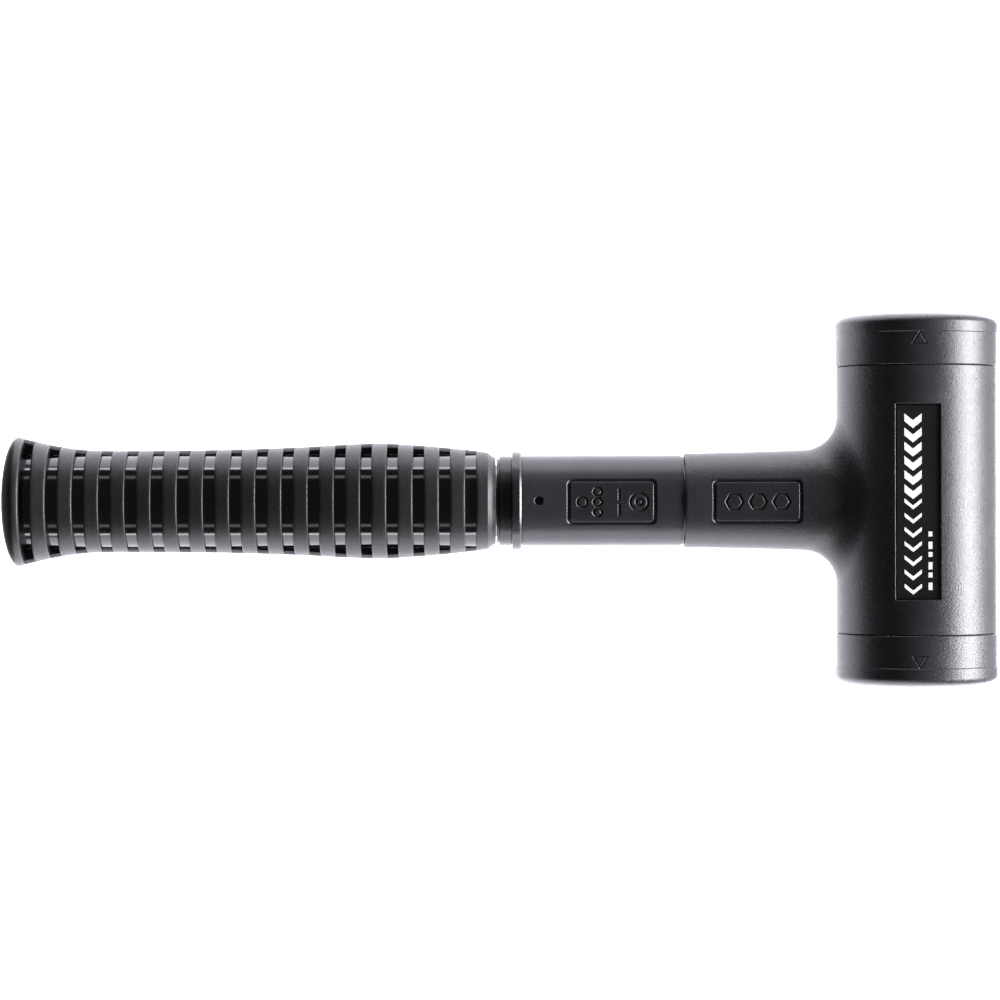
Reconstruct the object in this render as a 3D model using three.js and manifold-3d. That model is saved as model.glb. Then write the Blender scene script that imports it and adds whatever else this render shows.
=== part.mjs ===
// Dead blow mallet: a polyurethane head on a steel shot canister, with a tubular handle and a ribbed grip.
// It lies on its side: +X runs along the handle to the head, +Y along the head, +Z up. Millimetres.
// The origin is under the middle of the bounding box, on the surface that the head lies on.
import * as THREE from 'three';
import { mergeVertices } from 'three/addons/utils/BufferGeometryUtils.js';
import { ParametricGeometry } from 'three/addons/geometries/ParametricGeometry.js';
import Module from 'manifold-3d';

const wasm = await Module();
wasm.setup();

// Overall sizes
const TOTAL_LENGTH = 307;
const HEAD_LENGTH = 114;
const COLLAR_RADIUS = 25;
const AXIS_HEIGHT = COLLAR_RADIUS;
const HEAD_X = TOTAL_LENGTH / 2 - COLLAR_RADIUS;
const BUTT_X = -TOTAL_LENGTH / 2;
const GAP = 0.3;
const REACH = 60;
const MERGE_DISTANCE = 1e-4;

// Head
const BODY_RADIUS = 24.6;
const SEAM_Y = 41;
const FACE_EDGE_RADIUS = 2.8;
const WEAR_LINE_Y = 51.3;
const WEAR_LINE_DEPTH = 0.25;
const CANISTER_RADIUS = 20.5;
const CANISTER_WALL = 1.8;
const CANISTER_HALF = 36;
const END_PLATE_THICKNESS = 3;
const SPIGOT_START = CANISTER_HALF + 0.6;
const FILL_HOLE_RADIUS = 4.3;
const PLUG_SOCKET_RADIUS = 2.3;
const PLUG_SOCKET_DEPTH = 2;

// Badge plate, let into a flat recess that is turned a little around the head towards the handle
const BADGE_TURN = THREE.MathUtils.degToRad(5);
const BADGE_LENGTH = 58.8;
const BADGE_WIDTH = 12.9;
const BADGE_Y = -0.55;
const BADGE_THICKNESS = 0.8;
const BADGE_FLOOR = 22.3;

// Neck: radius at its start, at its middle and where the fillet to the head begins
const NECK_START_X = 56.7;
const NECK_RADII = [14.7, 15, 15.5];
const FILLET_RADIUS = 10.5;
const FILLET_ROOT = 2;
const NECK_PANEL = { from: 64.8, to: 92, half: 6.6 };

// Handle tube and its weld to the canister
const TUBE_RADIUS = 11;
const TUBE_WALL = 2;
const TUBE_START_X = BUTT_X + 7;
const WELD_RADIUS = 1.1;
const WELD_POCKET_RADIUS = 14.1;
const WELD_POCKET_DEPTH = 3.4;
const TUBE_PLUG_LENGTH = 10;

// Shaft sleeve and stop ring
const SLEEVE_RADIUS = 13.9;
const SLEEVE_SHOULDER_X = NECK_START_X - 0.8;
const SLEEVE_END_X = NECK_START_X - GAP;
const SLEEVE_TONGUE_RADIUS = 13.6;
const NOSE_START_X = -0.4;
const NOSE_GROOVE_RADIUS = 13.1;
const NOSE_GROOVE_WIDTH = 1;
const NOSE_CHAMFER = 0.6;
const RING_FROM_X = 3.6;
const RING_WIDTH = 2.9;
const RING_RADIUS = 15.2;
const RING_SEAT_RADIUS = 13.4;
const RING_CHAMFER = 0.4;
const SLEEVE_PANEL = { from: 20.3, to: 47.8, half: 6.7 };
const PIN_HOLE_X = 11.8;
const PIN_HOLE_RADIUS = 1.35;

// Panels are islands inside a rounded groove
const PANEL_DEPTH = 0.6;
const PANEL_GROOVE = 1;
const PANEL_CORNER = 1.8;

// Grip
const GRIP_CORE_RADIUS = 14.4;
const GRIP_END_X = NOSE_START_X - NOSE_GROOVE_WIDTH;
const GRIP_CORE_END_X = GRIP_END_X - 3.5;
const BUTT_FLAT_RADIUS = 2;
const BUTT_RIM = { depth: 4.8, radius: 19.9 };
const BUTT_WALL = 4.6;
const GRIP_STATIONS = [
  [10.2, 18.6],
  [15.8, 17.35],
  [23.2, 16.2],
  [32.4, 15.7],
  [69.4, 16],
  [93.4, 16.8],
  [116.4, 17.85],
  [136.4, 16.5],
  [146.2, 15.4],
  [149.7, 14.95],
];
const GRIP_END_CHAMFER = [
  [-1, 13.75],
  [0, 13.4],
];
const SLOT_COUNT = 18;
const SLOT_PITCH = 8;
const FIRST_SLOT = 8.4;
const SLOT_WIDTH = 3.3;
const FIN_HALF = 2.3;

// Shot charge: layers of packed steel balls, each layer one piece
const SHOT_LAYERS = 8;
const SHOT_SIZE = 6;
const SHOT_RING_COUNT = 12;
const SHOT_RING_RADIUS = 13.8;
const SHOT_BALL_RADIUS = 3.7;
const SHOT_BEVEL = 1.4;
const SHOT_LOBE_HALF_TURN = 1.1;

// Segments around each kind of round surface
const HEAD_SEGMENTS = 40;
const HANDLE_SEGMENTS = 32;
const GRIP_SEGMENTS = 24;
const SMALL_SEGMENTS = 16;

const material = (color, roughness, metalness) =>
  new THREE.MeshStandardMaterial({ color, roughness, metalness });

// A closed geometry as a solid, whichever way its triangles wind
function solid(geometry) {
  const bare = geometry.clone();
  bare.deleteAttribute('normal');
  bare.deleteAttribute('uv');
  const merged = mergeVertices(bare, MERGE_DISTANCE);
  const place = merged.attributes.position;
  const corner = (index) => new THREE.Vector3().fromBufferAttribute(place, index);
  const triangles = [];
  let volume = 0;
  for (let i = 0; i < merged.index.count; i += 3) {
    const [a, b, c] = [0, 1, 2].map((step) => merged.index.getX(i + step));
    if (a === b || b === c || c === a) continue;
    triangles.push([a, b, c]);
    volume += corner(a).dot(corner(b).cross(corner(c)));
  }
  const wound = volume > 0 ? triangles : triangles.map(([a, b, c]) => [a, c, b]);
  return new wasm.Manifold(new wasm.Mesh({
    numProp: 3,
    vertProperties: new Float32Array(place.array),
    triVerts: new Uint32Array(wound.flat()),
  }));
}

function geometryOf(body) {
  const result = body.getMesh();
  const geometry = new THREE.BufferGeometry();
  geometry.setAttribute('position', new THREE.BufferAttribute(new Float32Array(result.vertProperties), 3));
  geometry.setIndex(new THREE.BufferAttribute(new Uint32Array(result.triVerts), 1));
  geometry.computeVertexNormals();
  return geometry;
}

function node(name, body, look) {
  const mesh = new THREE.Mesh(geometryOf(body), look);
  mesh.name = name;
  return mesh;
}

// Bodies turned about the handle axis: the outline is a list of [x, radius]
function turnedAlongX(outline, segments) {
  const points = outline.map(([x, radius]) => new THREE.Vector2(radius, x));
  const geometry = new THREE.LatheGeometry(points, segments);
  geometry.rotateZ(-Math.PI / 2);
  return solid(geometry);
}

// Bodies turned about the head axis: the outline is a list of [y, radius]
function turnedAlongY(outline, segments) {
  const points = outline.map(([y, radius]) => new THREE.Vector2(radius, y));
  const geometry = new THREE.LatheGeometry(points, segments);
  geometry.translate(HEAD_X, 0, 0);
  return solid(geometry);
}

const rod = (from, to, radius) => [[from, 0], [from, radius], [to, radius], [to, 0]];
const tube = (from, to, inner, outer) =>
  [[from, inner], [from, outer], [to, outer], [to, inner], [from, inner]];

// A round-cornered plate outline in the XY plane, extruded upwards from the handle axis
function panelBlock(panel, inset) {
  const from = panel.from + inset;
  const to = panel.to - inset;
  const half = panel.half - inset;
  const shape = new THREE.Shape();
  const r = PANEL_CORNER - inset;
  shape.moveTo(from + r, -half);
  shape.lineTo(to - r, -half);
  shape.absarc(to - r, -half + r, r, -Math.PI / 2, 0);
  shape.lineTo(to, half - r);
  shape.absarc(to - r, half - r, r, 0, Math.PI / 2);
  shape.lineTo(from + r, half);
  shape.absarc(from + r, half - r, r, Math.PI / 2, Math.PI);
  shape.lineTo(from, -half + r);
  shape.absarc(from + r, -half + r, r, Math.PI, 1.5 * Math.PI);
  return solid(new THREE.ExtrudeGeometry(shape, { depth: REACH, bevelEnabled: false, curveSegments: 3 }));
}

// The groove around a panel, down to a floor body
function panelGroove(panel, floor) {
  return panelBlock(panel, 0).subtract(panelBlock(panel, PANEL_GROOVE)).subtract(floor);
}

// Neck
function neckRadius(x) {
  const full = HEAD_X - BODY_RADIUS - FILLET_RADIUS - NECK_START_X;
  const share = THREE.MathUtils.clamp((x - NECK_START_X) / full, 0, 1);
  const [start, middle, end] = NECK_RADII;
  return start + (middle - start) * Math.min(2 * share, 1) + (end - middle) * Math.max(2 * share - 1, 0);
}

function neckOutline(inset) {
  const end = HEAD_X - BODY_RADIUS / 2;
  const stations = [NECK_START_X, (NECK_START_X + HEAD_X - BODY_RADIUS - FILLET_RADIUS) / 2];
  stations.push(HEAD_X - BODY_RADIUS - FILLET_RADIUS, end);
  const outer = stations.map((x) => [x, neckRadius(x) - inset]);
  return [[NECK_START_X, 0], ...outer, [end, 0]];
}

// Rolling-ball fillet between the neck and the round head, as a ring of a closed section
function filletRing() {
  const neck = NECK_RADII[2];
  const arcSteps = 5;
  const centreReach = BODY_RADIUS + FILLET_RADIUS;
  const point = (around, along, target) => {
    const angle = around * 2 * Math.PI;
    const side = Math.cos(angle);
    const up = Math.sin(angle);
    const off = neck + FILLET_RADIUS;
    const back = Math.sqrt(centreReach ** 2 - (off * up) ** 2);
    const centre = new THREE.Vector3(HEAD_X - back, off * side, off * up);
    const onNeck = new THREE.Vector3(HEAD_X - back, neck * side, neck * up);
    const pull = BODY_RADIUS / centreReach;
    const onHead = new THREE.Vector3(HEAD_X - back * pull, off * side, off * up * pull);
    const root = neck - FILLET_ROOT;
    const inside = new THREE.Vector3(HEAD_X - back * pull + FILLET_ROOT, root * side, root * up * pull);
    const step = Math.round(along * (arcSteps + 2));
    if (step === 0 || step === arcSteps + 2) {
      target.copy(inside);
      return;
    }
    const share = (step - 1) / arcSteps;
    const from = onNeck.sub(centre).normalize();
    const to = onHead.sub(centre).normalize();
    const sweep = from.angleTo(to);
    const direction = from.multiplyScalar(Math.sin((1 - share) * sweep) / Math.sin(sweep));
    direction.add(to.multiplyScalar(Math.sin(share * sweep) / Math.sin(sweep)));
    target.copy(centre).addScaledVector(direction, FILLET_RADIUS);
  };
  return solid(new ParametricGeometry(point, HANDLE_SEGMENTS, arcSteps + 2));
}

function badgeBlock(floor, thickness, length, width) {
  const geometry = new THREE.BoxGeometry(width, length, thickness);
  geometry.translate(0, BADGE_Y, floor + thickness / 2);
  geometry.rotateY(-BADGE_TURN);
  geometry.translate(HEAD_X, 0, 0);
  return solid(geometry);
}

function headJacket() {
  const half = SEAM_Y - GAP / 2;
  let body = turnedAlongY(rod(-half, half, BODY_RADIUS), HEAD_SEGMENTS);
  body = body.add(turnedAlongX(neckOutline(0), HANDLE_SEGMENTS));
  body = body.add(filletRing());
  body = body.subtract(turnedAlongY(rod(-REACH, REACH, CANISTER_RADIUS + GAP), HEAD_SEGMENTS));
  body = body.subtract(turnedAlongX(rod(0, HEAD_X, TUBE_RADIUS + GAP), HANDLE_SEGMENTS));
  const pocketFrom = HEAD_X - CANISTER_RADIUS - WELD_POCKET_DEPTH;
  body = body.subtract(turnedAlongX(rod(pocketFrom, HEAD_X, WELD_POCKET_RADIUS), HANDLE_SEGMENTS));
  const recess = badgeBlock(BADGE_FLOOR - GAP, BODY_RADIUS, BADGE_LENGTH + 2 * GAP, BADGE_WIDTH + 2 * GAP);
  body = body.subtract(recess);
  const floor = turnedAlongX(neckOutline(PANEL_DEPTH), HANDLE_SEGMENTS);
  return body.subtract(panelGroove(NECK_PANEL, floor));
}

function strikingCap(side) {
  const face = HEAD_LENGTH / 2;
  const edge = [];
  const edgeSteps = 3;
  for (let i = 0; i <= edgeSteps; i += 1) {
    const angle = (i / edgeSteps) * Math.PI / 2;
    const y = face - FACE_EDGE_RADIUS * (1 - Math.sin(angle));
    edge.push([y, COLLAR_RADIUS - FACE_EDGE_RADIUS * (1 - Math.cos(angle))]);
  }
  const outline = [
    [SPIGOT_START, 0],
    [SPIGOT_START, CANISTER_RADIUS],
    [SEAM_Y + GAP / 2, CANISTER_RADIUS],
    [SEAM_Y + GAP / 2, COLLAR_RADIUS],
    [WEAR_LINE_Y - WEAR_LINE_DEPTH, COLLAR_RADIUS],
    [WEAR_LINE_Y, COLLAR_RADIUS - WEAR_LINE_DEPTH],
    [WEAR_LINE_Y + WEAR_LINE_DEPTH, COLLAR_RADIUS],
    ...edge,
    [face, 0],
  ];
  return turnedAlongY(outline.map(([y, radius]) => [side * y, radius]), HEAD_SEGMENTS);
}

// Canister
function endPlate(side) {
  const inner = CANISTER_HALF - END_PLATE_THICKNESS;
  const radius = CANISTER_RADIUS - CANISTER_WALL - GAP;
  return turnedAlongY(rod(side * inner, side * CANISTER_HALF, radius), HEAD_SEGMENTS);
}

function fillPlug() {
  const inner = CANISTER_HALF - END_PLATE_THICKNESS;
  const body = turnedAlongY(rod(inner, CANISTER_HALF, FILL_HOLE_RADIUS - GAP), SMALL_SEGMENTS);
  const from = CANISTER_HALF - PLUG_SOCKET_DEPTH;
  return body.subtract(turnedAlongY(rod(from, REACH, PLUG_SOCKET_RADIUS), 6));
}

// A layer of shot seen from above: one lobe for each ball of the outer ring
function shotLayer(index) {
  const shape = new THREE.Shape();
  const turn = (2 * Math.PI) / SHOT_RING_COUNT;
  const lobe = SHOT_BALL_RADIUS - SHOT_BEVEL;
  for (let i = 0; i < SHOT_RING_COUNT; i += 1) {
    const at = i * turn;
    const x = SHOT_RING_RADIUS * Math.cos(at);
    const y = SHOT_RING_RADIUS * Math.sin(at);
    shape.absarc(x, y, lobe, at - SHOT_LOBE_HALF_TURN, at + SHOT_LOBE_HALF_TURN);
  }
  const geometry = new THREE.ExtrudeGeometry(shape, {
    depth: SHOT_SIZE - 2 * SHOT_BEVEL,
    bevelThickness: SHOT_BEVEL,
    bevelSize: SHOT_BEVEL,
    bevelSegments: 1,
    curveSegments: 1,
  });
  geometry.translate(0, 0, SHOT_BEVEL - SHOT_SIZE / 2);
  geometry.rotateZ((index % 2) * turn / 2);
  geometry.rotateX(-Math.PI / 2);
  const height = (index - (SHOT_LAYERS - 1) / 2) * (SHOT_SIZE + GAP);
  geometry.translate(HEAD_X, height, 0);
  return solid(geometry);
}

// Handle
function handleTube() {
  const inner = TUBE_RADIUS - TUBE_WALL;
  const end = HEAD_X - BODY_RADIUS / 2;
  const body = turnedAlongX(tube(TUBE_START_X, end, inner, TUBE_RADIUS), HANDLE_SEGMENTS);
  return body.subtract(turnedAlongY(rod(-REACH, REACH, CANISTER_RADIUS + GAP), HEAD_SEGMENTS));
}

function weldBead() {
  const off = TUBE_RADIUS + GAP + WELD_RADIUS;
  const reach = CANISTER_RADIUS + GAP + WELD_RADIUS;
  const point = (around, along, target) => {
    const angle = around * 2 * Math.PI;
    const turn = along * 2 * Math.PI;
    const radius = off + WELD_RADIUS * Math.cos(turn);
    const back = Math.sqrt(reach ** 2 - (off * Math.sin(angle)) ** 2);
    target.set(
      HEAD_X - back + WELD_RADIUS * Math.sin(turn),
      radius * Math.cos(angle),
      radius * Math.sin(angle),
    );
  };
  return solid(new ParametricGeometry(point, SMALL_SEGMENTS * 2, 6));
}

function tubePlug() {
  const radius = TUBE_RADIUS - TUBE_WALL - GAP;
  return turnedAlongX(rod(TUBE_START_X, TUBE_START_X + TUBE_PLUG_LENGTH, radius), SMALL_SEGMENTS);
}

function shaftSleeve() {
  const bore = TUBE_RADIUS + GAP;
  const ringTo = RING_FROM_X + RING_WIDTH;
  const outline = [
    [NOSE_START_X - NOSE_GROOVE_WIDTH + GAP, bore],
    [NOSE_START_X - NOSE_GROOVE_WIDTH + GAP, NOSE_GROOVE_RADIUS],
    [NOSE_START_X, NOSE_GROOVE_RADIUS],
    [NOSE_START_X, SLEEVE_RADIUS - NOSE_CHAMFER],
    [NOSE_START_X + NOSE_CHAMFER, SLEEVE_RADIUS],
    [RING_FROM_X - GAP / 2, SLEEVE_RADIUS],
    [RING_FROM_X - GAP / 2, RING_SEAT_RADIUS],
    [ringTo + GAP / 2, RING_SEAT_RADIUS],
    [ringTo + GAP / 2, SLEEVE_RADIUS],
    [SLEEVE_SHOULDER_X, SLEEVE_RADIUS],
    [SLEEVE_SHOULDER_X, SLEEVE_TONGUE_RADIUS],
    [SLEEVE_END_X, SLEEVE_TONGUE_RADIUS],
    [SLEEVE_END_X, bore],
    [NOSE_START_X - NOSE_GROOVE_WIDTH + GAP, bore],
  ];
  const body = turnedAlongX(outline, HANDLE_SEGMENTS);
  const floor = turnedAlongX(rod(0, SLEEVE_END_X, SLEEVE_RADIUS - PANEL_DEPTH), HANDLE_SEGMENTS);
  const hole = new THREE.CylinderGeometry(PIN_HOLE_RADIUS, PIN_HOLE_RADIUS, REACH, SMALL_SEGMENTS);
  hole.rotateX(Math.PI / 2);
  hole.translate(PIN_HOLE_X, 0, REACH / 2);
  return body.subtract(panelGroove(SLEEVE_PANEL, floor)).subtract(solid(hole));
}

function stopRing() {
  const to = RING_FROM_X + RING_WIDTH;
  const inner = RING_SEAT_RADIUS + GAP;
  return turnedAlongX([
    [RING_FROM_X, inner],
    [RING_FROM_X, RING_RADIUS - RING_CHAMFER],
    [RING_FROM_X + RING_CHAMFER, RING_RADIUS],
    [to - RING_CHAMFER, RING_RADIUS],
    [to, RING_RADIUS - RING_CHAMFER],
    [to, inner],
    [RING_FROM_X, inner],
  ], HANDLE_SEGMENTS);
}

// Grip: the domed butt, then a smooth curve through the stations, then the end collar
function gripOutline() {
  const outline = [[BUTT_X, 0]];
  const domeSteps = 5;
  for (let i = 0; i <= domeSteps; i += 1) {
    const angle = (i / domeSteps) * Math.PI / 2;
    const x = BUTT_X + BUTT_RIM.depth * (1 - Math.cos(angle));
    outline.push([x, BUTT_FLAT_RADIUS + (BUTT_RIM.radius - BUTT_FLAT_RADIUS) * Math.sin(angle)]);
  }
  const stations = [[BUTT_RIM.depth, BUTT_RIM.radius], ...GRIP_STATIONS];
  const curve = new THREE.SplineCurve(stations.map(([x, radius]) => new THREE.Vector2(x, radius)));
  const curveSteps = 16;
  for (let i = 1; i <= curveSteps; i += 1) {
    const { x, y } = curve.getPointAt(i / curveSteps);
    outline.push([BUTT_X + x, y]);
  }
  for (const [x, radius] of GRIP_END_CHAMFER) outline.push([GRIP_END_X + x, radius]);
  outline.push([GRIP_END_X, 0]);
  return outline;
}

function ribbedGrip() {
  let body = turnedAlongX(gripOutline(), GRIP_SEGMENTS);
  const coreBore = rod(BUTT_X + BUTT_WALL, GRIP_CORE_END_X + GAP, GRIP_CORE_RADIUS + GAP / 2);
  body = body.subtract(turnedAlongX(coreBore, GRIP_SEGMENTS));
  body = body.subtract(turnedAlongX(rod(BUTT_X + BUTT_WALL, 0, TUBE_RADIUS + GAP), HANDLE_SEGMENTS));
  for (let i = 0; i < SLOT_COUNT; i += 1) {
    for (const side of [-1, 1]) {
      const cutter = new THREE.BoxGeometry(SLOT_WIDTH, REACH, REACH);
      const x = BUTT_X + FIRST_SLOT + i * SLOT_PITCH;
      cutter.translate(x, 0, side * (FIN_HALF + REACH / 2));
      body = body.subtract(solid(cutter));
    }
  }
  return body;
}

function gripCore() {
  const inner = TUBE_RADIUS + GAP;
  const from = BUTT_X + BUTT_WALL + GAP;
  return turnedAlongX(tube(from, GRIP_CORE_END_X, inner, GRIP_CORE_RADIUS - GAP / 2), HANDLE_SEGMENTS);
}

const polyurethane = () => material(0x2b2b2e, 0.55, 0);
const steel = () => material(0x9a9da0, 0.4, 1);

const mallet = new THREE.Group();
mallet.position.z = AXIS_HEIGHT;

const head = new THREE.Group();
head.add(node('head_jacket', headJacket(), polyurethane()));
head.add(node('striking_cap_upper', strikingCap(1), polyurethane()));
head.add(node('striking_cap_lower', strikingCap(-1), polyurethane()));
const badge = badgeBlock(BADGE_FLOOR, BADGE_THICKNESS, BADGE_LENGTH, BADGE_WIDTH);
head.add(node('badge_plate', badge, material(0x151516, 0.5, 0)));
const canisterBore = CANISTER_RADIUS - CANISTER_WALL;
const canisterWall = tube(-CANISTER_HALF, CANISTER_HALF, canisterBore, CANISTER_RADIUS);
head.add(node('canister_tube', turnedAlongY(canisterWall, HEAD_SEGMENTS), steel()));
const fillHole = turnedAlongY(rod(0, REACH, FILL_HOLE_RADIUS), SMALL_SEGMENTS);
head.add(node('canister_end_upper', endPlate(1).subtract(fillHole), steel()));
head.add(node('canister_end_lower', endPlate(-1), steel()));
head.add(node('fill_plug', fillPlug(), material(0x3a3a3c, 0.5, 1)));

const shot = new THREE.Group();
for (let i = 0; i < SHOT_LAYERS; i += 1) {
  shot.add(node(`shot_layer_${i + 1}`, shotLayer(i), material(0x85888b, 0.35, 1)));
}

const handle = new THREE.Group();
handle.add(node('handle_tube', handleTube(), steel()));
handle.add(node('handle_weld', weldBead(), material(0x6d6f72, 0.6, 1)));
handle.add(node('tube_plug', tubePlug(), material(0x1c1c1d, 0.6, 0)));
handle.add(node('shaft_sleeve', shaftSleeve(), material(0x2a2a2d, 0.5, 0)));
handle.add(node('stop_ring', stopRing(), material(0x262628, 0.4, 0)));
handle.add(node('grip_core', gripCore(), material(0x0d0d0e, 0.15, 0)));
handle.add(node('ribbed_grip', ribbedGrip(), material(0x242426, 0.6, 0)));

mallet.add(head, shot, handle);

export default mallet;
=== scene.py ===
"""Looks for the dead blow mallet: fine surfaces, procedural materials, studio and camera.

Lengths are in metres. The mallet lies along +X with its head along +Y, and the camera looks straight down.
"""
import itertools
import math

import bmesh
import bpy
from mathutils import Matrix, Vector


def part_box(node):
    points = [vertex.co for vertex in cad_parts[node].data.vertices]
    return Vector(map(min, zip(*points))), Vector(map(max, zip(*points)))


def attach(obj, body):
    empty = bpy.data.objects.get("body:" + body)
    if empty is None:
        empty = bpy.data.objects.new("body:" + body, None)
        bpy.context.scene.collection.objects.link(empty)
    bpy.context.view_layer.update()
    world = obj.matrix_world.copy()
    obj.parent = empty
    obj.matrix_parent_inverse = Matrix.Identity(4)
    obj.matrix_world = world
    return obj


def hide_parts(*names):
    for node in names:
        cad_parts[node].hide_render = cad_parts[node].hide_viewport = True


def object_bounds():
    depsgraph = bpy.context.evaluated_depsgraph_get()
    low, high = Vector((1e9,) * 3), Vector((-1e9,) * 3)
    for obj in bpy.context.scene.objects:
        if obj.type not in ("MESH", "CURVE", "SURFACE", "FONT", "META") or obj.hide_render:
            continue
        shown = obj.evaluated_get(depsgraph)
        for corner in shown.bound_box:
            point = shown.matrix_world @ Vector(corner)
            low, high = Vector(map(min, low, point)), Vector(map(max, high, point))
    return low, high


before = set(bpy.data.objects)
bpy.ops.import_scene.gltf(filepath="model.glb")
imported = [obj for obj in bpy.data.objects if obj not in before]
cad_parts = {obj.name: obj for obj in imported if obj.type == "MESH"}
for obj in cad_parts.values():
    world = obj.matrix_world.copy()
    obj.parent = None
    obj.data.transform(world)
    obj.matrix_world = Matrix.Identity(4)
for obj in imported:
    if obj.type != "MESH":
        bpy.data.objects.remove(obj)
cad_low, cad_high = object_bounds()

MM = 0.001

# Places and sizes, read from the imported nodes
jacket_low, jacket_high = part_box("head_jacket")
cap_low, cap_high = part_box("striking_cap_upper")
badge_low, badge_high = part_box("badge_plate")
sleeve_low, sleeve_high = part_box("shaft_sleeve")
ring_low, ring_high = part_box("stop_ring")
grip_low, grip_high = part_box("ribbed_grip")
core_low, core_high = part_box("grip_core")
canister_low, canister_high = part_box("canister_tube")
tube_low, tube_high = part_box("handle_tube")

AXIS_Z = (cad_low.z + cad_high.z) / 2
HEAD_X = (cap_low.x + cap_high.x) / 2
COLLAR_R = (cap_high.x - cap_low.x) / 2
BODY_R = jacket_high.x - HEAD_X
BODY_HALF = jacket_high.y
FACE_Y = cap_high.y
CANISTER_R = (canister_high.x - canister_low.x) / 2
TUBE_R = (tube_high.y - tube_low.y) / 2
NECK_X = jacket_low.x
SLEEVE_R = (sleeve_high.y - sleeve_low.y) / 2
RING_R = (ring_high.y - ring_low.y) / 2
CORE_R = (core_high.y - core_low.y) / 2
BUTT_X = grip_low.x
GRIP_END_X = grip_high.x
GAP = 0.3 * MM

# Caps: the face's edge and the collar's chamfer are (along the head, inward)
FACE_EDGE = (3.1 * MM, 6.2 * MM)
COLLAR_EDGE = (0.48 * MM, 0.5 * MM)
SEAM = 0.1 * MM
SPIGOT_GAP = 0.6 * MM
WEAR_LINE_Y = 51.05 * MM
WEAR_STEP = 0.25 * MM
ARROW_BASE_Y = 47.4 * MM
ARROW_HEIGHT = 3.6 * MM
ARROW_HALF = 2.2 * MM
ARROW_SHIFT = 0.6 * MM
ARROW_GROOVE = (0.44 * MM, 0.3 * MM, 0.06 * MM, 0.05 * MM)

# Badge: its size is (across the head, along it), and its top is a height over the head axis
BADGE_TURN = math.radians(5)
BADGE_SIZE = (12.9 * MM, badge_high.y - badge_low.y)
BADGE_Y = (badge_low.y + badge_high.y) / 2
BADGE_TOP = 23.1 * MM
BADGE_GAP = 0.25 * MM
BADGE_THICK = 0.8 * MM
BADGE_CORNER = 0.4 * MM
BADGE_BEVEL = 0.15 * MM
BADGE_POCKET = 1.2 * MM
BADGE_BORDER = (0.5 * MM, 0.22 * MM)

# Neck: radii at its start, its middle and the fillet
NECK_RADII = (14.55 * MM, 14.9 * MM, 15.5 * MM)
FILLET_R = 10.5 * MM
NECK_EDGE = 0.35 * MM
WELD_POCKET_R = 14.1 * MM
WELD_POCKET_DEPTH = 3.4 * MM

# Panels: each is (from x, to x, half width over the curve); their grooves are (width, depth)
NECK_PANEL = (64.8 * MM, 92.4 * MM, 7.2 * MM)
SLEEVE_PANEL = (20.3 * MM, 47.9 * MM, 7.5 * MM)
PANEL_SHIFT = -0.45 * MM
PANEL_CORNER = 1.4 * MM
PANEL_GROOVE = (1.2 * MM, 0.7 * MM)
MARK_GROOVE = (0.8 * MM, 0.42 * MM)

# Sleeve
PIN_HOLE_X = 11.8 * MM
PIN_HOLE_R = 1.35 * MM
PIN_HOLE_FLOOR = 0.5 * MM
NOSE_X = -0.4 * MM
NOSE_GROOVE_R = 13.1 * MM
NOSE_ROUND = 0.55 * MM
SHOULDER_X = NECK_X - 1.0 * MM
TONGUE_R = 13.6 * MM
RING_SEAT_R = 13.4 * MM

# Ring: its chamfer towards the head is (along the handle, inward)
RING_INNER_R = 13.7 * MM
RING_CHAMFER = (0.6 * MM, 0.45 * MM)

# Grip: radius at distances from the butt
GRIP_STATIONS = (
    (4.8, 19.9), (6.8, 19.4), (10.2, 18.6), (15.8, 17.35), (23.2, 16.2), (30.6, 15.72), (47.4, 15.75),
    (69.4, 16.0), (93.4, 16.8), (105.4, 17.5), (116.4, 17.85), (123.4, 17.55), (136.4, 16.5),
    (146.2, 15.45), (149.7, 14.95),
)
GRIP_END_CHAMFER = ((-1.0 * MM, 13.75 * MM), (0, 13.4 * MM))
BUTT_FLAT_R = 2 * MM
BUTT_WALL = 4.6 * MM
GRIP_BORE_R = CORE_R + GAP
CORE_SWELL = 0.15 * MM
SLOT_COUNT = 18
SLOT_PITCH = 8 * MM
FIRST_SLOT = 8.4 * MM
SLOT_WIDTH = 3.3 * MM
SLOT_LIPS = (0.5 * MM, 0.7 * MM)
FIN_HALF = 2.3 * MM
FIN_ROUND = 3 * MM
THROUGH = 1.0

# Fineness: faces around a turned piece and a bore, the largest angle shaded smoothly (in degrees),
# and how near a point has to be to an exact surface to take its normal
AROUND = 160
BORE_AROUND = 96
SMOOTH = 32
EXACT = 0.02 * MM


# Mesh helpers

def new_object(name, vertices, faces, material, smooth=SMOOTH):
    """A piece from points and faces: doubled points are joined and every face is turned outwards."""
    mesh = bpy.data.meshes.new(name)
    mesh.from_pydata(vertices, [], faces)
    shape = bmesh.new()
    shape.from_mesh(mesh)
    bmesh.ops.remove_doubles(shape, verts=shape.verts, dist=0.0005 * MM)
    bmesh.ops.recalc_face_normals(shape, faces=shape.faces)
    shape.to_mesh(mesh)
    shape.free()
    piece = bpy.data.objects.new(name, mesh)
    bpy.context.scene.collection.objects.link(piece)
    mesh.materials.append(material)
    finish_mesh(piece, smooth)
    return piece


def finish_mesh(piece, smooth=SMOOTH):
    """Smooth shading, except across angles larger than this one."""
    mesh = piece.data
    mesh.polygons.foreach_set("use_smooth", [True] * len(mesh.polygons))
    mesh.set_sharp_from_angle(angle=math.radians(smooth))
    mesh.update()


def along_x(x, radius, angle):
    """Point on a circle about the handle axis; angle 0 is +Y and a quarter turn is +Z."""
    return (x, radius * math.cos(angle), AXIS_Z + radius * math.sin(angle))


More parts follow.
